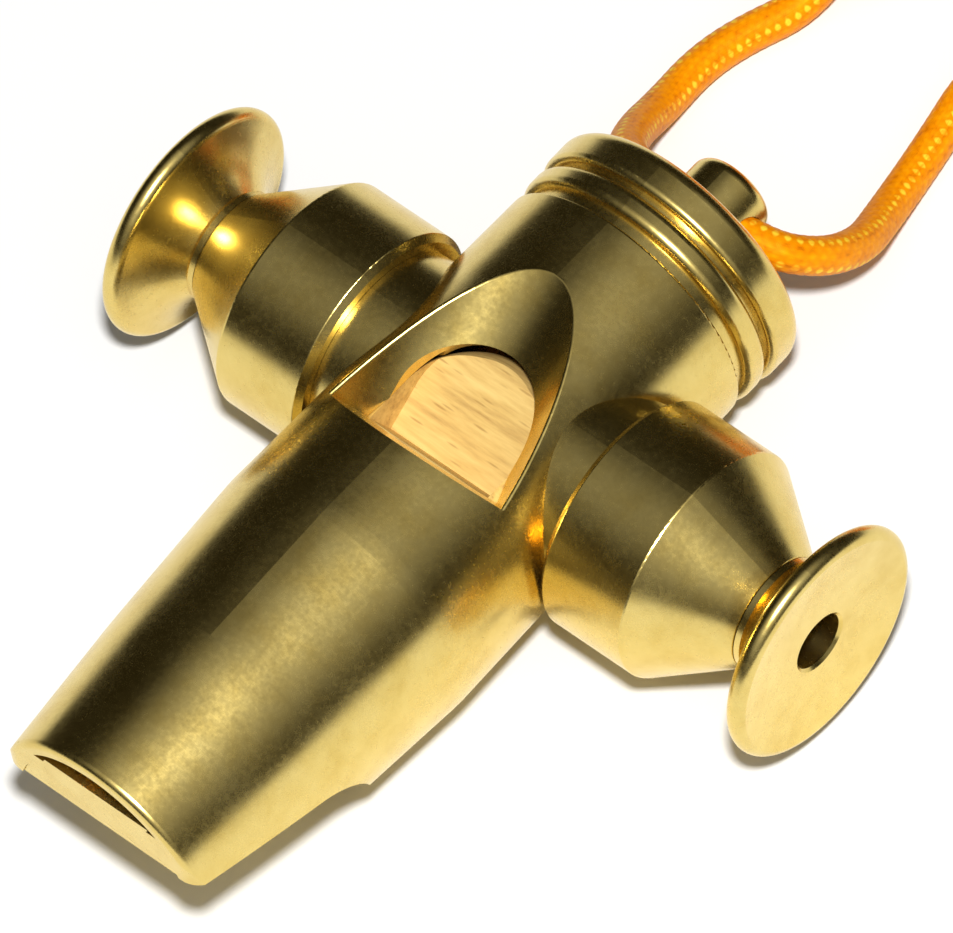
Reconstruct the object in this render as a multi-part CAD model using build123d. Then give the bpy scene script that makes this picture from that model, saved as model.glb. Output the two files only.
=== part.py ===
from build123d import *
import math
import os

# A small turned brass whistle for a lanyard. A tapered body tube lies along Y, with the mouthpiece
# at the front (-Y) and a screwed end cap at the rear. Two hollow arms stand out along X and each
# ends in a screwed bell with a finger hole. A braided cord runs through a stud on the cap.
# Millimetres. Shapes are drawn about the point where the body's axis meets the arms' axis, and
# placed last, so that the finished whistle stands on Z = 0 with its length centred on Y = 0.

# ---- driving dimensions -------------------------------------------------------------------------
TIP_Y = -39.9
SHOULDER_Y = -16.0
TUBE_REAR_Y = 12.4
CAP_REAR_Y = 18.6
STUD_END_Y = 23.9

TIP_R = 8.6
MID_TAPER_Y = -28.5
MID_TAPER_R = 9.65
SHOULDER_R = 10.45
TUBE_REAR_R = 9.9
BORE_R = 7.1
BORE_STEP_Y = 0.0
THROAT_R = 6.6
CHAMBER_R = 8.0
CHAMBER_Y = 5.6

WINDWAY_FLOOR_Z = 5.5
MOUTH_R = 7.65
MOUTH_FLARE_Y = -31.0
PLUG_REAR_Y = -9.2
BLOCK_DOME_Y = -2.9
BLOCK_CROSS_R = 3.0

RAMP_TILT = 32.5
SCOOP_R = 7.8
SCOOP_LOW = 4.7
SLOT_R = 5.15
SLOT_FLOOR = 4.1
FRONT_WALL_LEAN = 26.2
FRONT_WALL_REACH = 3.85
WINDOW_EDGE_R = 0.2

BIT_TIP_Z = 2.05
BIT_HEEL_Y = -26.2
BIT_HEEL_Z = -0.25
BIT_HEEL_ROUND = 5.5
BIT_HEEL_LEAN = 5.5
BIT_CORNER_R = 1.8

FLANGE_R = 10.15
BEAD_R = 10.0
CAP_GROOVE_R = 9.3
SPIGOT_LENGTH = 3.0
STUD_R = 3.1
STUD_SHANK_R = 1.7
CORD_HOLE_R = 1.5
CORD_HOLE_Y = 21.2

ARM_INNER_X = 10.5
ARM_R = 8.6
ARM_CONE_X = 17.6
NECK_X = 23.6
NECK_R = 4.25
ARM_WALL = 1.7
COLLAR_R = 7.4
NIPPLE_R = 4.0
NIPPLE_BORE_R = 3.0

BELL_RIM_X = 27.3
BELL_RIM_R = 8.68
BELL_FACE_X = 28.0
FINGER_HOLE_R = 2.1
BELL_SPIGOT_R = 3.2

THREAD_GAP = 0.02
SCREW_RUNNING_GAP = 0.05

CORD_D = 2.7
CORD_R = CORD_D / 2
CORD_FLOOR_Z = CORD_R + 0.05
COIL_TURN_R = 14.5
COIL_CENTRE = (-3.0, 78.1)
COIL_WIDTH = 3 * CORD_D
COIL_HEIGHT = 4 * CORD_D
TIE_THICKNESS = 0.3
TIE_ARC = 14.0
KNOT_R = 3.1
KNOT_Z = KNOT_R + 0.05
KNOT_LENGTH = 7.6

# ---- derived placing ----------------------------------------------------------------------------
LENGTH_MIDDLE_Y = (TIP_Y + STUD_END_Y) / 2
PLACE = Pos(0, -LENGTH_MIDDLE_Y, SHOULDER_R)
CORD_EXIT_Y = CORD_HOLE_Y - LENGTH_MIDDLE_Y

# Control points of the cord on each side, from the middle of the stud's hole to the coil.
RIGHT_ROUTE = [
    (0.0, CORD_EXIT_Y, SHOULDER_R),
    (4.6, CORD_EXIT_Y, SHOULDER_R),
    (7.0, 31.9, 8.2),
    (7.0, 35.6, 5.2),
    (5.4, 39.3, 2.6),
    (4.3, 43.3, CORD_FLOOR_Z),
    (3.6, 47.3, CORD_FLOOR_Z),
    (2.7, 51.6, CORD_FLOOR_Z),
    (3.4, 56.3, CORD_FLOOR_Z),
    (6.3, 61.5, CORD_FLOOR_Z),
    (9.8, 66.9, CORD_FLOOR_Z),
]
LEFT_ROUTE = [
    (0.0, CORD_EXIT_Y, SHOULDER_R),
    (-4.6, CORD_EXIT_Y, SHOULDER_R),
    (-8.6, 30.0, 8.6),
    (-11.2, 33.4, 5.0),
    (-12.6, 37.6, 1.9),
    (-13.0, 41.8, CORD_FLOOR_Z),
    (-12.2, 45.4, CORD_FLOOR_Z),
    (-10.4, 49.6, CORD_FLOOR_Z),
    (-10.2, 54.2, KNOT_Z),
    (-10.8, 58.4, KNOT_Z),
    (-13.2, 62.8, CORD_FLOOR_Z),
    (-17.4, 66.6, CORD_FLOOR_Z),
]


# ---- drawing helpers ----------------------------------------------------------------------------
def turned(plane, axis, corners):
    """Revolve a closed outline of (station, radius, corner rounding) rows about an axis."""
    points = [(station, radius) for station, radius, _ in corners]
    rounds = [rounding for _, _, rounding in corners]
    outline = FilletPolyline(*points, radius=rounds, close=True)
    return revolve(plane * make_face(outline), axis=axis)


def turned_long(corners):
    """A part turned about the body's axis, Y."""
    return turned(Plane.YZ, Axis.Y, corners)


def turned_arm(corners):
    """A part turned about the arms' axis, X."""
    return turned(Plane.XZ, Axis.X, corners)


def rod_y(radius, start, end):
    """A plain round bar along Y."""
    return turned_long([(start, 0, 0), (start, radius, 0), (end, radius, 0), (end, 0, 0)])


def rod_x(radius, start, end):
    """A plain round bar along X."""
    return turned_arm([(start, 0, 0), (start, radius, 0), (end, radius, 0), (end, 0, 0)])


# ---- body ---------------------------------------------------------------------------------------
def body_blank():
    """The outside of the body: a straight taper to the shoulder, then the mouthpiece's taper."""
    return turned_long([
        (TIP_Y, 0, 0),
        (TIP_Y, TIP_R, 0.5),
        (MID_TAPER_Y, MID_TAPER_R, 60),
        (SHOULDER_Y, SHOULDER_R, 14),
        (TUBE_REAR_Y, TUBE_REAR_R, 0.2),
        (TUBE_REAR_Y, 0, 0),
    ])


def ramp_plane(height):
    """A plane along the window's ramp, a height above the crossing; its own Y runs up to the rear."""
    tilt = math.radians(RAMP_TILT)
    normal = Vector(0, -math.sin(tilt), math.cos(tilt))
    return Plane(origin=height * normal, x_dir=(1, 0, 0), z_dir=normal)


def behind_front_wall(cutter):
    """What is left of a cutter behind the window's leaning front wall."""
    lean = math.radians(FRONT_WALL_LEAN)
    normal = Vector(0, math.cos(lean), math.sin(lean))
    wall = Plane(origin=-FRONT_WALL_REACH * normal, x_dir=(1, 0, 0), z_dir=normal)
    size = 50
    return cutter & (wall * Pos(0, 0, size / 2) * Box(size, size, size))


def window_scoop():
    """A round cutter laid along the ramp, which leaves the ramp's hollow and the arch's outline."""
    length = 40
    return behind_front_wall(ramp_plane(SCOOP_LOW + SCOOP_R) * Rot(90, 0, 0) * Cylinder(SCOOP_R, length))


def window_slot():
    """A flat-floored slot with a round rear end, cut square to the ramp down into the wood."""
    run = 12
    outline = Circle(SLOT_R) + Pos(0, -run / 2) * Rectangle(2 * SLOT_R, run)
    return behind_front_wall(extrude(ramp_plane(SLOT_FLOOR) * outline, amount=2 * SHOULDER_R))


def bit_cutter():
    """Everything cut from under the mouthpiece, which leaves a thin bit for the teeth."""
    below = -SHOULDER_R - 2
    ahead = TIP_Y - 2
    slope = (BIT_HEEL_Z - BIT_TIP_Z) / (BIT_HEEL_Y - TIP_Y)
    outline = FilletPolyline(
        (ahead, BIT_TIP_Z + slope * (ahead - TIP_Y)),
        (BIT_HEEL_Y, BIT_HEEL_Z),
        (BIT_HEEL_Y + BIT_HEEL_LEAN, below),
        (ahead, below),
        radius=[0, BIT_HEEL_ROUND, 0, 0],
        close=True,
    )
    return extrude(Plane.YZ * make_face(outline), amount=2 * SHOULDER_R, both=True)


def corner_cutter():
    """The two small corners taken off the tip, seen from above."""
    flare = 3.0
    kept = FilletPolyline(
        (-TIP_R, TIP_Y),
        (TIP_R, TIP_Y),
        (TIP_R + flare, SHOULDER_Y),
        (-TIP_R - flare, SHOULDER_Y),
        radius=[BIT_CORNER_R, BIT_CORNER_R, 0, 0],
        close=True,
    )
    depth = 3 * SHOULDER_R
    removed = Pos(0, TIP_Y, 0) * Box(4 * TIP_R, 4, depth)
    return removed - extrude(make_face(kept), amount=depth / 2, both=True)


def mouth_flare():
    """The windway's flared mouth, above its floor only."""
    cone = turned_long([
        (TIP_Y - 1, 0, 0),
        (TIP_Y - 1, MOUTH_R, 0),
        (TIP_Y, MOUTH_R, 0),
        (MOUTH_FLARE_Y, BORE_R, 0),
        (MOUTH_FLARE_Y, 0, 0),
    ])
    size = 4 * MOUTH_R
    return cone & (Pos(0, TIP_Y, WINDWAY_FLOOR_Z + size / 2) * Box(size, size, size))


def softened_window(tube):
    """Round off the scoop's rim, which is two long edges on the outside of the body."""
    rim = []
    for edge in tube.edges():
        middle = edge @ 0.5
        outside = math.hypot(middle.X, middle.Z) > BORE_R + 2
        beside_scoop = abs(middle.X) < SCOOP_R and abs(middle.Y) < NIPPLE_R and middle.Z > WINDWAY_FLOOR_Z
        if outside and beside_scoop:
            rim.append(edge)
    return fillet(rim, WINDOW_EDGE_R)


def main_tube():
    """Body tube with its stepped bore, rear chamber, tone window, arm ports and bit."""
    tube = body_blank()
    tube -= rod_y(BORE_R, TIP_Y - 1, BORE_STEP_Y)
    tube -= rod_y(THROAT_R, BORE_STEP_Y - 1, TUBE_REAR_Y)
    tube -= mouth_flare()
    tube -= rod_y(CHAMBER_R, CHAMBER_Y, TUBE_REAR_Y + 1)
    tube -= rod_x(NIPPLE_R, -SHOULDER_R - 1, SHOULDER_R + 1)
    tube -= window_scoop()
    tube -= window_slot()
    tube = softened_window(tube)
    tube -= bit_cutter()
    tube -= corner_cutter()
    return tube


def bore_filler(start, end):
    """A bar that fills the bore below the flat of the windway."""
    bar = rod_y(BORE_R - THREAD_GAP, start, end)
    above = Pos(0, (start + end) / 2, WINDWAY_FLOOR_Z + BORE_R) * Box(4 * BORE_R, 80, 2 * BORE_R)
    return bar - above


def windway_plug():
    """Brass plug in the mouthpiece: its flat top is the floor of the windway."""
    plug = bore_filler(TIP_Y + 0.15, PLUG_REAR_Y)
    plug -= bit_cutter()
    plug -= corner_cutter()
    return plug


def wooden_block():
    """Round-ended beech block under the window, with a cross passage between the two arms."""
    block = bore_filler(PLUG_REAR_Y + THREAD_GAP, BLOCK_DOME_Y)
    dome = Pos(0, BLOCK_DOME_Y, 0) * Sphere(BORE_R - THREAD_GAP)
    block += dome & bore_filler(BLOCK_DOME_Y, BLOCK_DOME_Y + BORE_R)
    block -= window_slot()
    block -= rod_x(BLOCK_CROSS_R, -BORE_R, BORE_R)
    return block


# ---- rear end -----------------------------------------------------------------------------------
def end_cap():
    """Screwed plug with a seat ring, a rounded bead, a groove and a wide flange."""
    bead_y = TUBE_REAR_Y + 0.9
    groove_y = bead_y + 1.9
    flange_y = groove_y + 0.4
    cap = turned_long([
        (TUBE_REAR_Y - SPIGOT_LENGTH, 0, 0),
        (TUBE_REAR_Y - SPIGOT_LENGTH, CHAMBER_R - THREAD_GAP, 0.3),
        (TUBE_REAR_Y + THREAD_GAP, CHAMBER_R - THREAD_GAP, 0),
        (TUBE_REAR_Y + THREAD_GAP, CAP_GROOVE_R, 0),
        (bead_y, CAP_GROOVE_R, 0),
        (bead_y, BEAD_R, 0.65),
        (groove_y, BEAD_R, 0.65),
        (groove_y, CAP_GROOVE_R, 0),
        (flange_y, CAP_GROOVE_R, 0),
        (flange_y, FLANGE_R, 0.5),
        (CAP_REAR_Y, FLANGE_R, 1.1),
        (CAP_REAR_Y, 0, 0),
    ])
    return cap - rod_y(STUD_SHANK_R + THREAD_GAP, TUBE_REAR_Y + 0.6, CAP_REAR_Y + 1)


def lanyard_stud():
    """Round stud screwed into the cap, with a cross hole for the cord."""
    stud = turned_long([
        (TUBE_REAR_Y + 1.0, 0, 0),
        (TUBE_REAR_Y + 1.0, STUD_SHANK_R, 0),
        (CAP_REAR_Y + THREAD_GAP, STUD_SHANK_R, 0),
        (CAP_REAR_Y + THREAD_GAP, STUD_R, 0.15),
        (STUD_END_Y, STUD_R, 0.9),
        (STUD_END_Y, 0, 0),
    ])
    return stud - Pos(0, CORD_HOLE_Y, 0) * rod_x(CORD_HOLE_R, -2 * STUD_R, 2 * STUD_R)


# ---- arms, drawn on the +X side -----------------------------------------------------------------
def nipple():
    """Hollow screwed connector between the body's port and the barrel."""
    outer = NIPPLE_R - THREAD_GAP
    return turned_arm([
        (7.35, NIPPLE_BORE_R, 0),
        (7.35, outer, 0),
        (13.4, outer, 0.2),
        (13.4, NIPPLE_BORE_R, 0),
    ])


def collar():
    """Saddle ring that fills the gap between the round body and the barrel's flat end."""
    ring = turned_arm([
        (4.0, NIPPLE_R, 0),
        (4.0, COLLAR_R, 0),
        (ARM_INNER_X - THREAD_GAP, COLLAR_R, 0),
        (ARM_INNER_X - THREAD_GAP, NIPPLE_R, 0),
    ])
    return ring - body_blank()


def barrel():
    """Hollow arm: a bevelled inner end, a straight part and a cone down to the neck."""
    cavity_x = ARM_INNER_X + 2.1
    neck_bore_x = NECK_X - 2.4
    neck_cavity_r = 4.3
    return turned_arm([
        (ARM_INNER_X, NIPPLE_R, 0),
        (ARM_INNER_X, ARM_R - 0.45, 0),
        (ARM_INNER_X + 0.45, ARM_R, 0.1),
        (ARM_CONE_X, ARM_R, 0.25),
        (NECK_X, NECK_R, 0.12),
        (NECK_X, BELL_SPIGOT_R + SCREW_RUNNING_GAP, 0),
        (neck_bore_x, BELL_SPIGOT_R + SCREW_RUNNING_GAP, 0),
        (neck_bore_x, neck_cavity_r, 0),
        (ARM_CONE_X - 0.5, ARM_R - ARM_WALL, 0),
        (cavity_x, ARM_R - ARM_WALL, 0),
        (cavity_x, NIPPLE_R, 0),
    ])


def bell():
    """Flared bell with a screwed spigot, a neck bead, a rounded rim and a dished face."""
    spigot_x = NECK_X - 2.7
    bead_x = NECK_X + SCREW_RUNNING_GAP
    flare_x = bead_x + 0.45
    flare_r = NECK_R - 0.4
    back_x = BELL_RIM_X - 0.75
    rim_r = BELL_RIM_R - 0.55
    hole_x = BELL_FACE_X - 0.5
    countersink = 0.2
    outline = [
        Polyline(
            (hole_x - countersink, FINGER_HOLE_R),
            (spigot_x, FINGER_HOLE_R),
            (spigot_x, BELL_SPIGOT_R),
            (bead_x, BELL_SPIGOT_R),
            (bead_x, NECK_R - 0.05),
            (flare_x, NECK_R - 0.05),
            (flare_x, flare_r),
        ),
        ThreePointArc((flare_x, flare_r), (flare_x + 1.25, flare_r + 1.45), (back_x, rim_r)),
        ThreePointArc((back_x, rim_r), (BELL_RIM_X, BELL_RIM_R), (BELL_FACE_X, rim_r - 0.1)),
        ThreePointArc(
            (BELL_FACE_X, rim_r - 0.1),
            (BELL_FACE_X - 0.33, 5.2),
            (hole_x, FINGER_HOLE_R + countersink),
        ),
        Line((hole_x, FINGER_HOLE_R + countersink), (hole_x - countersink, FINGER_HOLE_R)),
    ]
    return revolve(Plane.XZ * make_face(outline), axis=Axis.X)


# ---- cord ---------------------------------------------------------------------------------------
def corner_radii(points):
    """The largest soft arc at each inner point: 0.45 of the shorter run over tan(half the turn)."""
    radii = []
    for before, here, after in zip(points, points[1:], points[2:]):
        arriving = Vector(here) - Vector(before)
        leaving = Vector(after) - Vector(here)
        half_turn = math.radians(arriving.get_angle(leaving)) / 2
        radii.append(0.45 * min(arriving.length, leaving.length) / math.tan(half_turn))
    return radii


def cord_run(name, points):
    """A round cord swept along straight runs joined by tangent arcs."""
    radii = corner_radii(points)
    path = FilletPolyline(*points, radius=radii)
    section = Plane(origin=path @ 0, z_dir=path % 0) * Circle(CORD_R)
    tube = sweep(section, path=path)
    expected = math.pi * CORD_R**2 * path.length
    print(name, "arc radii", [round(radius, 1) for radius in radii])
    print(name, "length", round(path.length, 1), "volume ratio", round(tube.volume / expected, 4))
    return tube


def coil_section(margin):
    """The rounded cross-section of the coiled cord, drawn beside the coil's axis."""
    middle_z = TIE_THICKNESS + 0.05 + COIL_HEIGHT / 2
    return Pos(COIL_TURN_R, middle_z) * RectangleRounded(COIL_WIDTH + margin, COIL_HEIGHT + margin, 2.2)


def cord_coil():
    """The stored length of cord as one ring."""
    ring = revolve(Plane.XZ * coil_section(0.1), axis=Axis.Z)
    return Pos(*COIL_CENTRE, 0) * ring


def cord_tie():
    """A narrow strip closed round the coil at its far side."""
    clearance = 0.14
    strip = coil_section(clearance + 2 * TIE_THICKNESS - 0.1) - coil_section(clearance)
    band = revolve(Plane.XZ * strip, axis=Axis.Z, revolution_arc=TIE_ARC)
    return Pos(*COIL_CENTRE, 0) * Rot(0, 0, 90 - TIE_ARC / 2) * band


def cord_knot():
    """The barrel knot that joins the cord's two ends, lying on the left-hand side."""
    start = Vector(LEFT_ROUTE[-4])
    end = Vector(LEFT_ROUTE[-3])
    lying = Plane(origin=(start + end) / 2, z_dir=end - start)
    knot = Cylinder(KNOT_R, KNOT_LENGTH)
    return lying * fillet(knot.edges().filter_by(GeomType.CIRCLE), 1.8)


# ---- assembly -----------------------------------------------------------------------------------
def whistle_parts():
    """Every node of the whistle, placed in the finished frame."""
    parts = {
        "main_tube": PLACE * main_tube(),
        "windway_plug": PLACE * windway_plug(),
        "wooden_block": PLACE * wooden_block(),
        "end_cap": PLACE * end_cap(),
        "lanyard_stud": PLACE * lanyard_stud(),
        "cord_right_run": cord_run("cord_right_run", RIGHT_ROUTE),
        "cord_left_run": cord_run("cord_left_run", LEFT_ROUTE),
        "cord_coil": cord_coil(),
        "cord_tie": cord_tie(),
        "cord_knot": cord_knot(),
    }
    arm_parts = {"nipple": nipple(), "collar": collar(), "barrel": barrel(), "bell": bell()}
    for name, shape in arm_parts.items():
        parts["right_" + name] = PLACE * shape
        parts["left_" + name] = PLACE * mirror(shape, about=Plane.YZ)
    return parts


os.makedirs("parts", exist_ok=True)
for node, shape in whistle_parts().items():
    export_step(shape, f"parts/{node}.step")
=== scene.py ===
import math

import bmesh
import bpy
from mathutils import Matrix, Vector


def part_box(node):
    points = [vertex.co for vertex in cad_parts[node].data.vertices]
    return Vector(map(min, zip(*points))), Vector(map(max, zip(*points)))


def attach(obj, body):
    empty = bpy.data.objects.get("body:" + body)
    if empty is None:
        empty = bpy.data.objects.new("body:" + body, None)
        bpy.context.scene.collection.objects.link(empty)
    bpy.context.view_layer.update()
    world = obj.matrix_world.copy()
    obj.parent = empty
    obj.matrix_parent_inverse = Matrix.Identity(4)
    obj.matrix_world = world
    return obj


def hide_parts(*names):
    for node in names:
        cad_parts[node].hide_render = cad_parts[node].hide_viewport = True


# The looks of a small turned brass whistle: satin brass with turning marks, a beech block and a
# braided orange neck cord. Metres throughout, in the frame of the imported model.

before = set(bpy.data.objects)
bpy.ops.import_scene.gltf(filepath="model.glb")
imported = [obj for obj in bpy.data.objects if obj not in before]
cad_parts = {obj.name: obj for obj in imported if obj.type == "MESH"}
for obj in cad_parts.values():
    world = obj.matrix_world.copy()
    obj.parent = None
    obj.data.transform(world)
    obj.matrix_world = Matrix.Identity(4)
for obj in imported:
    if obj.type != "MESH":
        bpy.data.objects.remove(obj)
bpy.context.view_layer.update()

MM = 0.001

# ---- where things are, from the frame -----------------------------------------------------------
bell_low, bell_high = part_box("right_bell")
AXES_CROSS = Vector((0, (bell_low.y + bell_high.y) / 2, (bell_low.z + bell_high.z) / 2))
COIL_LOW, COIL_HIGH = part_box("cord_coil")

# ---- the cord's facts ---------------------------------------------------------------------------
CORD_D = 2.7 * MM

# ---- camera -------------------------------------------------------------------------------------
CAMERA_AZIMUTH = math.radians(50.08)
CAMERA_ELEVATION = math.radians(56.65)
CAMERA_ROLL = math.radians(-11.0)
CAMERA_DISTANCE = 1.39
FRAME_CENTRE_RIGHT = -1.73 * MM
FRAME_CENTRE_UP = -2.43 * MM
SENSOR_WIDTH = 36.0
VIEW_WIDTH = 62.7 * MM


def camera_basis():
    """The camera's right, up and backward directions."""
    sin_a, cos_a = math.sin(CAMERA_AZIMUTH), math.cos(CAMERA_AZIMUTH)
    sin_e, cos_e = math.sin(CAMERA_ELEVATION), math.cos(CAMERA_ELEVATION)
    backward = Vector((sin_a * cos_e, -cos_a * cos_e, sin_e))
    level_right = Vector((cos_a, sin_a, 0))
    level_up = backward.cross(level_right)
    right = math.cos(CAMERA_ROLL) * level_right + math.sin(CAMERA_ROLL) * level_up
    return right, backward.cross(right), backward


def look_matrix(place, right, up, backward):
    """A matrix for a camera or light that looks against the backward direction."""
    matrix = Matrix((right, up, backward)).transposed().to_4x4()
    matrix.translation = place
    return matrix


def make_camera():
    right, up, backward = camera_basis()
    camera = bpy.data.objects.new("camera", bpy.data.cameras.new("camera"))
    camera.data.sensor_width = SENSOR_WIDTH
    camera.data.lens = SENSOR_WIDTH * CAMERA_DISTANCE / VIEW_WIDTH
    target = AXES_CROSS + FRAME_CENTRE_RIGHT * right + FRAME_CENTRE_UP * up
    camera.matrix_world = look_matrix(target + CAMERA_DISTANCE * backward, right, up, backward)
    bpy.context.scene.collection.objects.link(camera)
    bpy.context.scene.camera = camera


make_camera()


# ---- the cord -----------------------------------------------------------------------------------
# The same control points as the frame's cord, from the middle of the stud's hole to the coil.
RIGHT_ROUTE = [
    (0.0, 29.2, 10.45),
    (4.6, 29.2, 10.45),
    (7.0, 31.9, 8.2),
    (7.0, 35.6, 5.2),
    (5.4, 39.3, 2.6),
    (4.3, 43.3, 1.4),
    (3.6, 47.3, 1.4),
    (2.7, 51.6, 1.4),
    (3.4, 56.3, 1.4),
    (6.3, 61.5, 1.4),
    (9.8, 66.9, 1.4),
]
LEFT_ROUTE = [
    (0.0, 29.2, 10.45),
    (-4.6, 29.2, 10.45),
    (-8.6, 30.0, 8.6),
    (-11.2, 33.4, 5.0),
    (-12.6, 37.6, 1.9),
    (-13.0, 41.8, 1.4),
    (-12.2, 45.4, 1.4),
    (-10.4, 49.6, 1.4),
    (-10.2, 54.2, 3.15),
    (-10.8, 58.4, 3.15),
    (-13.2, 62.8, 1.4),
    (-17.4, 66.6, 1.4),
]
COIL_LAYERS = 4
COIL_POINTS_PER_TURN = 16
COIL_ENTRY_ANGLE = math.radians(-41)
COIL_LEAVE_ANGLE = math.radians(149 + 7 * 360)
COIL_CLIMB_ANGLE = math.radians(50)
COIL_SLACK = 0.05 * MM
# The last turn steps off the coil's top and slides down its outside: (degrees, mm out, mm up).
COIL_DROP = [(165, 18.7, 9.6), (180, 20.0, 8.1), (195, 20.6, 5.6), (208, 20.4, 3.1)]

CURVE_ORDER = 3
CURVE_STEPS = 12
CORD_SIDES = 48
CORD_SHOWN = 52 * MM
CORD_FINE_STEP = 0.13 * MM
CORD_COARSE_STEP = 0.26 * MM
BRAID_STRANDS = 8
BRAID_PITCH = 0.78 * MM
BRAID_RELIEF = 0.035 * MM

# The knot is wound from a thinner strand, so that its wraps fit the size of the frame's knot.
KNOT_STRAND_R = 0.85 * MM
KNOT_BRAID_SHARE = 0.6
KNOT_WRAPS = 4
KNOT_POINTS_PER_WRAP = 48
KNOT_TAIL = 5.0 * MM
KNOT_TAIL_BEND = 0.09
KNOT_TAIL_SAG = 0.03
KNOT_TAIL_LIFT = 0.1 * MM


def coil_centre():
    return (COIL_LOW + COIL_HIGH) / 2


def on_coil(angle, radius, z):
    """A point at an angle and radius about the coil's centre."""
    centre = coil_centre()
    return Vector((centre.x + radius * math.cos(angle), centre.y + radius * math.sin(angle), z))


def coil_points():
    """Four flat spirals on each other, wound in and out by turns, and the drop off the last one."""
    middle_z = coil_centre().z
    outer_r = (COIL_HIGH.x - COIL_LOW.x) / 2 - CORD_D / 2 - COIL_SLACK
    inner_r = outer_r - 2 * CORD_D
    whole = COIL_LEAVE_ANGLE - COIL_ENTRY_ANGLE
    count = round(COIL_POINTS_PER_TURN * whole / math.tau)
    layer_angle = whole / COIL_LAYERS
    points = []
    for i in range(1, count + 1):
        turned = whole * i / count
        layer = min(int(turned / layer_angle), COIL_LAYERS - 1)
        into = turned / layer_angle - layer
        share = into if layer % 2 else 1 - into
        radius = inner_r + share * (outer_r - inner_r)
        height = layer
        for step in range(1, COIL_LAYERS):
            away = (turned - step * layer_angle) / COIL_CLIMB_ANGLE
            if abs(away) < 0.5:
                height = step - 0.5 + away
        z = middle_z + (height - (COIL_LAYERS - 1) / 2) * CORD_D
        points.append(on_coil(COIL_ENTRY_ANGLE + turned, radius, z))
    for degrees, radius, z in COIL_DROP:
        points.append(on_coil(math.radians(degrees), radius * MM, z * MM))
    return points


def cord_centreline():
    """The cord's smooth line, read from one NURBS spline with the route as its control points."""
    right = [Vector(point) * MM for point in RIGHT_ROUTE]
    left = [Vector(point) * MM for point in reversed(LEFT_ROUTE)]
    control = right + coil_points() + left
    curve = bpy.data.curves.new("cord_line", "CURVE")
    curve.dimensions = "3D"
    curve.resolution_u = CURVE_STEPS
    spline = curve.splines.new("NURBS")
    spline.points.add(len(control) - 1)
    for point, place in zip(spline.points, control):
        point.co = (*place, 1)
    spline.order_u = CURVE_ORDER
    spline.use_endpoint_u = True
    holder = bpy.data.objects.new("cord_line", curve)
    bpy.context.scene.collection.objects.link(holder)
    bpy.context.view_layer.update()
    mesh = bpy.data.meshes.new_from_object(holder)
    line = [vertex.co.copy() for vertex in mesh.vertices]
    bpy.data.objects.remove(holder)
    bpy.data.curves.remove(curve)
    bpy.data.meshes.remove(mesh)
    return line


def path_length(line):
    return sum((b - a).length for a, b in zip(line, line[1:]))


def respaced(line, fine_length):
    """Points along the line: close together in the shown stretches, wider apart in the coil."""
    total = path_length(line)
    spaced = [line[0].copy()]
    travelled = 0.0
    target = CORD_FINE_STEP
    for a, b in zip(line, line[1:]):
        run = (b - a).length
        while run > 0 and travelled + run >= target:
            spaced.append(a.lerp(b, (target - travelled) / run))
            shown = target < fine_length or target > total - fine_length
            target += CORD_FINE_STEP if shown else CORD_COARSE_STEP
        travelled += run
    spaced.append(line[-1].copy())
    return spaced


def braid_height(around, along):
    """Relief of a diamond braid, 0 to 1: around counts strands and along counts pitches."""
    a = (around + along) % 1.0
    b = (around - along) % 1.0
    return math.sqrt(max(0.0, math.sin(math.pi * a) * math.sin(math.pi * b)))


def braided_tube(name, line, radius, pitch, relief_depth):
    """A closed tube along the line with the braid's cushions standing out of it."""
    mesh = bmesh.new()
    uv_layer = mesh.loops.layers.uv.new("UVMap")
    normal = (line[1] - line[0]).orthogonal().normalized()
    rings = []
    lengths = []
    along = 0.0
    for i, place in enumerate(line):
        before = line[max(i - 1, 0)]
        after = line[min(i + 1, len(line) - 1)]
        tangent = (after - before).normalized()
        normal = (normal - normal.dot(tangent) * tangent).normalized()
        side = tangent.cross(normal)
        if i:
            along += (place - before).length
        ring = []
        for k in range(CORD_SIDES):
            turn = k / CORD_SIDES
            angle = math.tau * turn
            relief = braid_height(turn * BRAID_STRANDS, along / pitch)
            reach = radius - relief_depth * (1 - relief)
            offset = normal * math.cos(angle) + side * math.sin(angle)
            ring.append(mesh.verts.new(place + reach * offset))
        rings.append(ring)
        lengths.append(along / pitch)
    for i in range(len(rings) - 1):
        for k in range(CORD_SIDES):
            nxt = (k + 1) % CORD_SIDES
            face = mesh.faces.new((rings[i][k], rings[i][nxt], rings[i + 1][nxt], rings[i + 1][k]))
            face.smooth = True
            corners = [(k, i), (k + 1, i), (k + 1, i + 1), (k, i + 1)]
            for loop, (side_index, ring_index) in zip(face.loops, corners):
                around = side_index / CORD_SIDES * BRAID_STRANDS
                loop[uv_layer].uv = (around, lengths[ring_index])
    mesh.faces.new(list(reversed(rings[0])))
    mesh.faces.new(rings[-1])
    data = bpy.data.meshes.new(name)
    mesh.to_mesh(data)
    mesh.free()
    tube = bpy.data.objects.new(name, data)
    bpy.context.scene.collection.objects.link(tube)
    return tube


def knot_tail(place, step, heading, pull, above):
    """Points of one short tail that leaves the knot sideways, bends along the cord and sags."""
    tail = []
    for _ in range(round(KNOT_TAIL / step)):
        heading = (heading + KNOT_TAIL_BEND * pull - KNOT_TAIL_SAG * above).normalized()
        place = place + step * heading
        place.z = max(place.z, KNOT_STRAND_R + KNOT_TAIL_LIFT)
        tail.append(place)
    return tail


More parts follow.
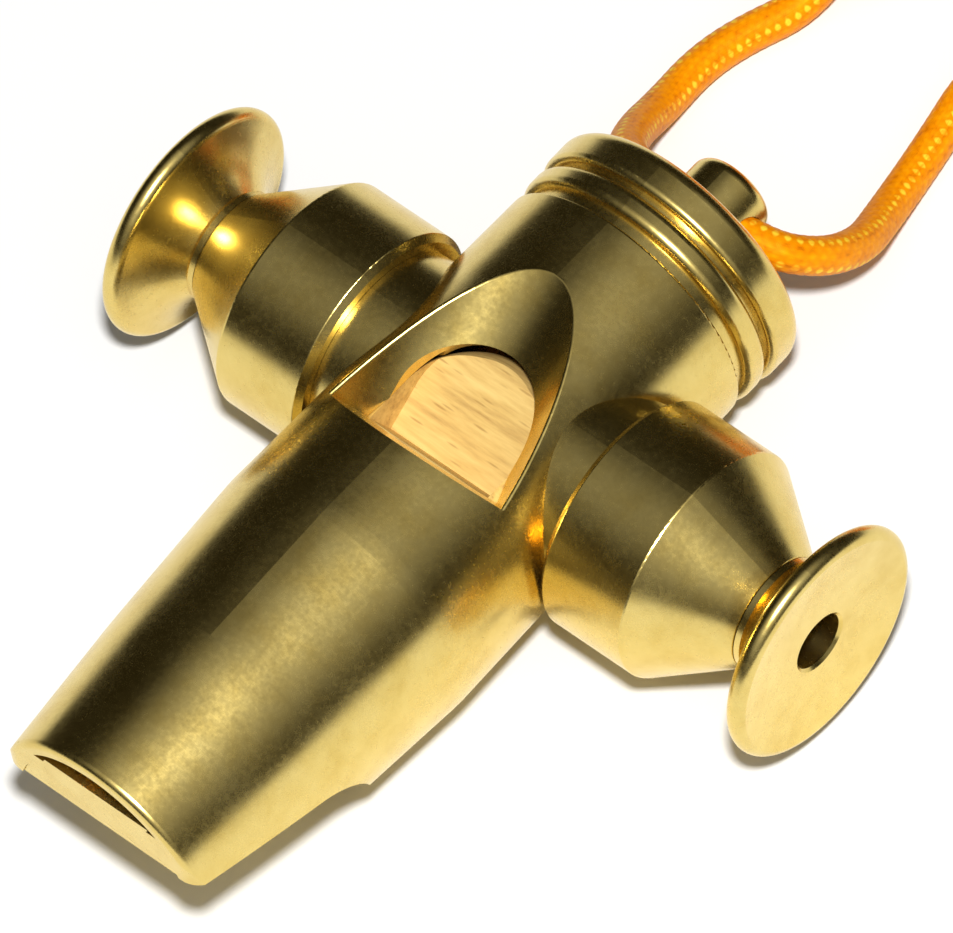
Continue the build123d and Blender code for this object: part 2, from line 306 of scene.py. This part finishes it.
def barrel_knot(name):
    """The knot that joins the cord's ends: one strand wound round the cord, with two short tails."""
    start = Vector(LEFT_ROUTE[-4]) * MM
    end = Vector(LEFT_ROUTE[-3]) * MM
    middle = (start + end) / 2
    axis = (end - start).normalized()
    side = axis.cross(Vector((0, 0, 1))).normalized()
    above = side.cross(axis)
    low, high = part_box("cord_knot")
    winding_r = (high.z - low.z) / 2 - KNOT_STRAND_R
    wound_length = KNOT_WRAPS * 2 * KNOT_STRAND_R
    count = KNOT_WRAPS * KNOT_POINTS_PER_WRAP
    wraps = []
    for i in range(count + 1):
        angle = math.tau * i / KNOT_POINTS_PER_WRAP
        along = (i / count - 0.5) * wound_length
        outward = math.cos(angle) * above + math.sin(angle) * side
        wraps.append(middle + along * axis + winding_r * outward)
    step = (wraps[1] - wraps[0]).length
    first_tail = knot_tail(wraps[0], step, -side, -axis, above)
    last_tail = knot_tail(wraps[-1], step, side, axis, above)
    line = first_tail[::-1] + wraps + last_tail
    pitch = BRAID_PITCH * KNOT_BRAID_SHARE
    return braided_tube(name, line, KNOT_STRAND_R, pitch, BRAID_RELIEF * KNOT_BRAID_SHARE)


# ---- node helpers -------------------------------------------------------------------------------
# Sockets of a Mix node: its factor, its two numbers, its two colours and its colour output.
MIX_FACTOR = 0
MIX_VALUE_A = 2
MIX_VALUE_B = 3
MIX_COLOUR_A = 6
MIX_COLOUR_B = 7
MIX_COLOUR_OUT = 2


def new_material(name):
    material = bpy.data.materials.new(name)
    material.use_nodes = True
    return material, material.node_tree.nodes, material.node_tree.links


def math_node(nodes, links, operation, first, second=None):
    """A Math node; each input is a number or a socket."""
    node = nodes.new("ShaderNodeMath")
    node.operation = operation
    for socket, value in zip(node.inputs, (first, second)):
        if value is None:
            continue
        if isinstance(value, (int, float)):
            socket.default_value = value
        else:
            links.new(value, socket)
    return node.outputs[0]


def vector_node(nodes, links, operation, first, second):
    """A Vector Math node that gives a vector; each input is a vector or a socket."""
    node = nodes.new("ShaderNodeVectorMath")
    node.operation = operation
    for socket, value in zip(node.inputs, (first, second)):
        if isinstance(value, (tuple, Vector)):
            socket.default_value = value
        else:
            links.new(value, socket)
    return node.outputs[0]


def noise_node(nodes, links, vector, scale, detail=2.0, roughness=0.5):
    node = nodes.new("ShaderNodeTexNoise")
    node.inputs["Scale"].default_value = scale
    node.inputs["Detail"].default_value = detail
    node.inputs["Roughness"].default_value = roughness
    links.new(vector, node.inputs["Vector"])
    return node.outputs["Fac"]


def ramp_node(nodes, links, factor, stops):
    """A colour ramp through (position, (r, g, b)) stops."""
    node = nodes.new("ShaderNodeValToRGB")
    elements = node.color_ramp.elements
    while len(elements) < len(stops):
        elements.new(0.5)
    for element, (position, colour) in zip(elements, stops):
        element.position = position
        element.color = (*colour, 1)
    links.new(factor, node.inputs["Fac"])
    return node.outputs["Color"]


def range_node(nodes, links, value, low, high, out_low, out_high):
    """A clamped straight-line map from low..high to out_low..out_high."""
    node = nodes.new("ShaderNodeMapRange")
    numbers = {"From Min": low, "From Max": high, "To Min": out_low, "To Max": out_high}
    for name, number in numbers.items():
        node.inputs[name].default_value = number
    links.new(value, node.inputs["Value"])
    return node.outputs["Result"]


def bump_node(nodes, links, height, strength, distance, normal=None):
    node = nodes.new("ShaderNodeBump")
    node.inputs["Strength"].default_value = strength
    node.inputs["Distance"].default_value = distance
    links.new(height, node.inputs["Height"])
    if normal is not None:
        links.new(normal, node.inputs["Normal"])
    return node.outputs["Normal"]


# ---- brass --------------------------------------------------------------------------------------
# Noise scales count features per metre; bump heights are in metres.
BRASS_TONES = [
    (0.30, (0.72, 0.54, 0.165)),
    (0.50, (0.775, 0.60, 0.205)),
    (0.72, (0.81, 0.64, 0.235)),
]
BRASS_ROUGH = (0.235, 0.285)
SPECKLE_ROUGH = 0.03
PATCH_SCALE = 160
STAIN_SCALE = 420
MOTTLE_SCALE = 2600
RING_SCALE = 9000
BRASS_BUMP = 0.12
RING_HEIGHT = 0.004 * MM
MOTTLE_HEIGHT = 0.006 * MM


def turned_brass(name, axis):
    """Satin brass turned about a line through the crossing of the axes."""
    material, nodes, links = new_material(name)
    shader = nodes["Principled BSDF"]
    shader.inputs["Metallic"].default_value = 1.0
    place = nodes.new("ShaderNodeTexCoord").outputs["Object"]
    local = vector_node(nodes, links, "SUBTRACT", place, AXES_CROSS)
    across = vector_node(nodes, links, "CROSS_PRODUCT", axis, local)
    radius_node = nodes.new("ShaderNodeVectorMath")
    radius_node.operation = "LENGTH"
    links.new(across, radius_node.inputs[0])
    radius = radius_node.outputs["Value"]
    station_node = nodes.new("ShaderNodeVectorMath")
    station_node.operation = "DOT_PRODUCT"
    links.new(local, station_node.inputs[0])
    station_node.inputs[1].default_value = axis
    station = station_node.outputs["Value"]

    # Rings left by the tool: one value per place along the turned profile.
    profile = math_node(nodes, links, "ADD", station, radius)
    rings = nodes.new("ShaderNodeTexNoise")
    rings.noise_dimensions = "1D"
    rings.inputs["Scale"].default_value = RING_SCALE
    rings.inputs["Detail"].default_value = 3
    links.new(profile, rings.inputs["W"])
    mottle = noise_node(nodes, links, local, MOTTLE_SCALE, 3, 0.6)
    patches = noise_node(nodes, links, local, PATCH_SCALE, 3, 0.55)
    stains = noise_node(nodes, links, local, STAIN_SCALE, 4, 0.6)

    links.new(ramp_node(nodes, links, stains, BRASS_TONES), shader.inputs["Base Color"])
    rough = range_node(nodes, links, patches, 0.3, 0.7, *BRASS_ROUGH)
    speckle = range_node(nodes, links, mottle, 0.3, 0.7, -SPECKLE_ROUGH, SPECKLE_ROUGH)
    links.new(math_node(nodes, links, "ADD", rough, speckle), shader.inputs["Roughness"])

    normal = bump_node(nodes, links, rings.outputs["Fac"], BRASS_BUMP, RING_HEIGHT)
    normal = bump_node(nodes, links, mottle, BRASS_BUMP, MOTTLE_HEIGHT, normal)
    links.new(normal, shader.inputs["Normal"])
    return material


# ---- wood ---------------------------------------------------------------------------------------
BEECH_TONES = [
    (0.32, (0.47, 0.285, 0.095)),
    (0.50, (0.70, 0.485, 0.170)),
    (0.66, (0.81, 0.595, 0.230)),
]
BEECH_FLECK = (0.36, 0.19, 0.055, 1)
BEECH_FLECK_STRENGTH = 0.5
GRAIN_STRETCH = (0.12, 1.0, 1.0)
BAND_STRETCH = (0.05, 1.0, 1.0)
FLECK_STRETCH = (0.13, 1.0, 1.0)
GRAIN_SCALE = 2400
BAND_SCALE = 420
FLECK_SCALE = 2100
GRAIN_SHARE = 0.55
BAND_SHARE = 0.45
GRAIN_BUMP = 0.3
GRAIN_HEIGHT = 0.03 * MM


def beech():
    """Pale beech with its grain and short dark rays running along X."""
    material, nodes, links = new_material("beech")
    shader = nodes["Principled BSDF"]
    shader.inputs["Roughness"].default_value = 0.62
    shader.inputs["Specular IOR Level"].default_value = 0.3
    place = nodes.new("ShaderNodeTexCoord").outputs["Object"]
    grain_space = vector_node(nodes, links, "MULTIPLY", place, GRAIN_STRETCH)
    grain = noise_node(nodes, links, grain_space, GRAIN_SCALE, 5, 0.6)
    band_space = vector_node(nodes, links, "MULTIPLY", place, BAND_STRETCH)
    bands = noise_node(nodes, links, band_space, BAND_SCALE, 2)
    fleck_space = vector_node(nodes, links, "MULTIPLY", place, FLECK_STRETCH)
    flecks = nodes.new("ShaderNodeTexVoronoi")
    flecks.inputs["Scale"].default_value = FLECK_SCALE
    links.new(fleck_space, flecks.inputs["Vector"])
    fleck = range_node(nodes, links, flecks.outputs["Distance"], 0.10, 0.20, 1.0, 0.0)
    tone = math_node(nodes, links, "ADD", math_node(nodes, links, "MULTIPLY", grain, GRAIN_SHARE),
                     math_node(nodes, links, "MULTIPLY", bands, BAND_SHARE))
    mix = nodes.new("ShaderNodeMix")
    mix.data_type = "RGBA"
    fleck_share = math_node(nodes, links, "MULTIPLY", fleck, BEECH_FLECK_STRENGTH)
    links.new(fleck_share, mix.inputs[MIX_FACTOR])
    links.new(ramp_node(nodes, links, tone, BEECH_TONES), mix.inputs[MIX_COLOUR_A])
    mix.inputs[MIX_COLOUR_B].default_value = BEECH_FLECK
    links.new(mix.outputs[MIX_COLOUR_OUT], shader.inputs["Base Color"])
    links.new(bump_node(nodes, links, grain, GRAIN_BUMP, GRAIN_HEIGHT), shader.inputs["Normal"])
    return material


# ---- yarn ---------------------------------------------------------------------------------------
YARN_TONES = [
    (0.30, (0.66, 0.165, 0.0006)),
    (0.46, (0.86, 0.275, 0.001)),
    (0.66, (0.94, 0.345, 0.0015)),
    (0.86, (1.00, 0.450, 0.004)),
]
YARN_GLOSS_TINT = (1.0, 0.80, 0.12, 1)
# Share of the cushions' height in the yarn's tone: painted shade, darker in the crevices between cushions
# and lighter on their tops.
CUSHION_PAINTED_SHADE_SHARE = 0.15
STREAK_STRETCH = (2.2, 0.45, 1.0)
FILAMENTS_PER_STRAND = 6
FILAMENT_BUMP = 0.35
FILAMENT_HEIGHT = 0.012 * MM
# Every fourth row of stitches along the cord gets painted yellow glints on its cushion tops.
GLINT_PAINT_COLOUR = (1.0, 0.74, 0.055, 1)
GLINT_ROW_EVERY = 4.0
GLINT_PAINT_STRENGTH = 0.85
# A multiple of the glint rows' spacing that keeps the cell numbers above zero round the whole cord.
CELL_SHIFT = 400


def satin_cord():
    """Orange satin yarn with soft streaks, fine filaments, painted shade between the braid's cushions and
    rows of painted yellow glints.
    """
    material, nodes, links = new_material("satin_cord")
    shader = nodes["Principled BSDF"]
    shader.inputs["Roughness"].default_value = 0.45
    shader.inputs["Specular IOR Level"].default_value = 0.40
    shader.inputs["Specular Tint"].default_value = YARN_GLOSS_TINT
    uv = nodes.new("ShaderNodeTexCoord").outputs["UV"]
    split = nodes.new("ShaderNodeSeparateXYZ")
    links.new(uv, split.inputs[0])
    around, along = split.outputs[0], split.outputs[1]
    first = math_node(nodes, links, "ADD", around, along)
    second = math_node(nodes, links, "SUBTRACT", around, along)
    first_part = math_node(nodes, links, "FRACT", first)
    second_part = math_node(nodes, links, "FRACT", second)
    cells = math_node(nodes, links, "ADD", math_node(nodes, links, "FLOOR", first),
                      math_node(nodes, links, "FLOOR", second))

    # The strand on top in each cell shows its own filaments.
    odd = math_node(nodes, links, "MODULO", math_node(nodes, links, "ABSOLUTE", cells), 2.0)
    across_strand = nodes.new("ShaderNodeMix")
    links.new(odd, across_strand.inputs[MIX_FACTOR])
    links.new(first_part, across_strand.inputs[MIX_VALUE_A])
    links.new(second_part, across_strand.inputs[MIX_VALUE_B])
    phase = math_node(nodes, links, "MULTIPLY", across_strand.outputs[0],
                      FILAMENTS_PER_STRAND * math.tau)
    filaments = math_node(nodes, links, "SINE", phase)
    bump = bump_node(nodes, links, filaments, FILAMENT_BUMP, FILAMENT_HEIGHT)
    links.new(bump, shader.inputs["Normal"])

    # Streaks of lighter and darker filaments, long in the cord's direction.
    first_rise = math_node(nodes, links, "SINE", math_node(nodes, links, "MULTIPLY", first_part, math.pi))
    second_rise = math_node(nodes, links, "SINE", math_node(nodes, links, "MULTIPLY", second_part, math.pi))
    cushion = math_node(nodes, links, "MULTIPLY", first_rise, second_rise)
    streak_space = vector_node(nodes, links, "MULTIPLY", uv, STREAK_STRETCH)
    streak = noise_node(nodes, links, streak_space, 1.0, 4, 0.6)
    # Painted shade: the cushions' height darkens the crevices between them and lightens their tops.
    cushion_painted_shade = math_node(nodes, links, "MULTIPLY", cushion, CUSHION_PAINTED_SHADE_SHARE)
    colour = ramp_node(nodes, links, math_node(nodes, links, "ADD", cushion_painted_shade, streak), YARN_TONES)

    # Painted yellow glints on the cushion tops of every fourth row, dimmer where the streak noise is dark.
    shifted = math_node(nodes, links, "ADD", cells, CELL_SHIFT)
    row = math_node(nodes, links, "MODULO", shifted, GLINT_ROW_EVERY)
    glint_row = math_node(nodes, links, "LESS_THAN", row, 0.5)
    glint_spot = range_node(nodes, links, cushion, 0.20, 0.65, 0.0, 1.0)
    glint_dimming = range_node(nodes, links, streak, 0.40, 0.56, 0.15, 1.0)
    glint_stitches = math_node(nodes, links, "MULTIPLY", glint_row, glint_spot)
    painted_glint = math_node(nodes, links, "MULTIPLY", glint_stitches, glint_dimming)
    yarn = nodes.new("ShaderNodeMix")
    yarn.data_type = "RGBA"
    links.new(math_node(nodes, links, "MULTIPLY", painted_glint, GLINT_PAINT_STRENGTH), yarn.inputs[MIX_FACTOR])
    links.new(colour, yarn.inputs[MIX_COLOUR_A])
    yarn.inputs[MIX_COLOUR_B].default_value = GLINT_PAINT_COLOUR
    links.new(yarn.outputs[MIX_COLOUR_OUT], shader.inputs["Base Color"])
    return material


# ---- tie ----------------------------------------------------------------------------------------
TIE_TONES = [(0.3, (0.012, 0.012, 0.012)), (0.7, (0.03, 0.03, 0.028))]
TIE_SCALE = 1200
TIE_BUMP = 0.2
TIE_HEIGHT = 0.02 * MM


def dark_tie():
    """Soft black plastic with a faintly uneven surface."""
    material, nodes, links = new_material("dark_tie")
    shader = nodes["Principled BSDF"]
    shader.inputs["Roughness"].default_value = 0.55
    place = nodes.new("ShaderNodeTexCoord").outputs["Object"]
    cloud = noise_node(nodes, links, place, TIE_SCALE, 3)
    links.new(ramp_node(nodes, links, cloud, TIE_TONES), shader.inputs["Base Color"])
    links.new(bump_node(nodes, links, cloud, TIE_BUMP, TIE_HEIGHT), shader.inputs["Normal"])
    return material


# ---- the pieces ---------------------------------------------------------------------------------
def give(node, material):
    """Make this the node's only material."""
    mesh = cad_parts[node].data
    mesh.materials.clear()
    mesh.materials.append(material)


brass_long = turned_brass("brass_long", (0, 1, 0))
brass_arm = turned_brass("brass_arm", (1, 0, 0))
for node in ("main_tube", "windway_plug", "end_cap", "lanyard_stud"):
    give(node, brass_long)
for side in ("right", "left"):
    for part in ("nipple", "collar", "barrel", "bell"):
        give(f"{side}_{part}", brass_arm)
give("wooden_block", beech())
cord_material = satin_cord()
give("cord_tie", dark_tie())

cord_line = cord_centreline()
cord_points = respaced(cord_line, CORD_SHOWN)
cord = braided_tube("neck_cord", cord_points, CORD_D / 2, BRAID_PITCH, BRAID_RELIEF)
cord.data.materials.append(cord_material)
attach(cord, "body")
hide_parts("cord_right_run", "cord_left_run", "cord_coil")
knot = barrel_knot("barrel_knot")
knot.data.materials.append(cord_material)
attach(knot, "body")
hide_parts("cord_knot")


# ---- floor and light ----------------------------------------------------------------------------
FLOOR_HALF = 1.5
FLOOR_COLOUR = (0.90, 0.90, 0.895, 1)
VIEW_GAMMA = 0.92
KEY_RAISE = math.radians(7)
KEY_DISTANCE = 1.25
KEY_SIZE = 0.10
KEY_POWER = 16.8
GLOW_RADIANCE = 0.45
GLOW_INNER = math.radians(15)
GLOW_OUTER = math.radians(65)
DIM_ROOM = (0.020, 0.017, 0.008)


def make_floor():
    mesh = bmesh.new()
    corners = [(-1, -1), (1, -1), (1, 1), (-1, 1)]
    mesh.faces.new([mesh.verts.new((x * FLOOR_HALF, y * FLOOR_HALF, 0)) for x, y in corners])
    data = bpy.data.meshes.new("floor")
    mesh.to_mesh(data)
    mesh.free()
    floor = bpy.data.objects.new("floor", data)
    bpy.context.scene.collection.objects.link(floor)
    material, nodes, links = new_material("floor")
    shader = nodes["Principled BSDF"]
    shader.inputs["Base Color"].default_value = FLOOR_COLOUR
    shader.inputs["Roughness"].default_value = 0.9
    shader.inputs["Specular IOR Level"].default_value = 0.1
    data.materials.append(material)


def key_direction():
    """The direction from the object to the key light, a little above the camera."""
    right, up, backward = camera_basis()
    return math.cos(KEY_RAISE) * backward + math.sin(KEY_RAISE) * up


def make_key_light():
    """A round area light that looks at the crossing of the axes."""
    light = bpy.data.lights.new("key", "AREA")
    light.shape = "DISK"
    light.size = KEY_SIZE
    light.energy = KEY_POWER
    backward = key_direction().normalized()
    right = Vector((0, 0, 1)).cross(backward).normalized()
    up = backward.cross(right)
    lamp = bpy.data.objects.new("key", light)
    lamp.matrix_world = look_matrix(AXES_CROSS + KEY_DISTANCE * backward, right, up, backward)
    bpy.context.scene.collection.objects.link(lamp)


def make_world():
    """A dim room with a wide soft glow round the key light."""
    world = bpy.data.worlds.new("studio")
    world.use_nodes = True
    nodes, links = world.node_tree.nodes, world.node_tree.links
    direction = nodes.new("ShaderNodeTexCoord").outputs["Generated"]
    facing = nodes.new("ShaderNodeVectorMath")
    facing.operation = "DOT_PRODUCT"
    links.new(direction, facing.inputs[0])
    facing.inputs[1].default_value = key_direction()
    glow = nodes.new("ShaderNodeMapRange")
    glow.interpolation_type = "SMOOTHSTEP"
    glow.inputs["From Min"].default_value = math.cos(GLOW_OUTER)
    glow.inputs["From Max"].default_value = math.cos(GLOW_INNER)
    links.new(facing.outputs["Value"], glow.inputs["Value"])
    light = ramp_node(nodes, links, glow.outputs["Result"], [
        (0.0, DIM_ROOM),
        (1.0, (GLOW_RADIANCE, GLOW_RADIANCE, GLOW_RADIANCE)),
    ])
    links.new(light, nodes["Background"].inputs["Color"])
    bpy.context.scene.world = world


make_floor()
make_key_light()
make_world()
bpy.context.scene.view_settings.view_transform = "Standard"
bpy.context.scene.view_settings.gamma = VIEW_GAMMA
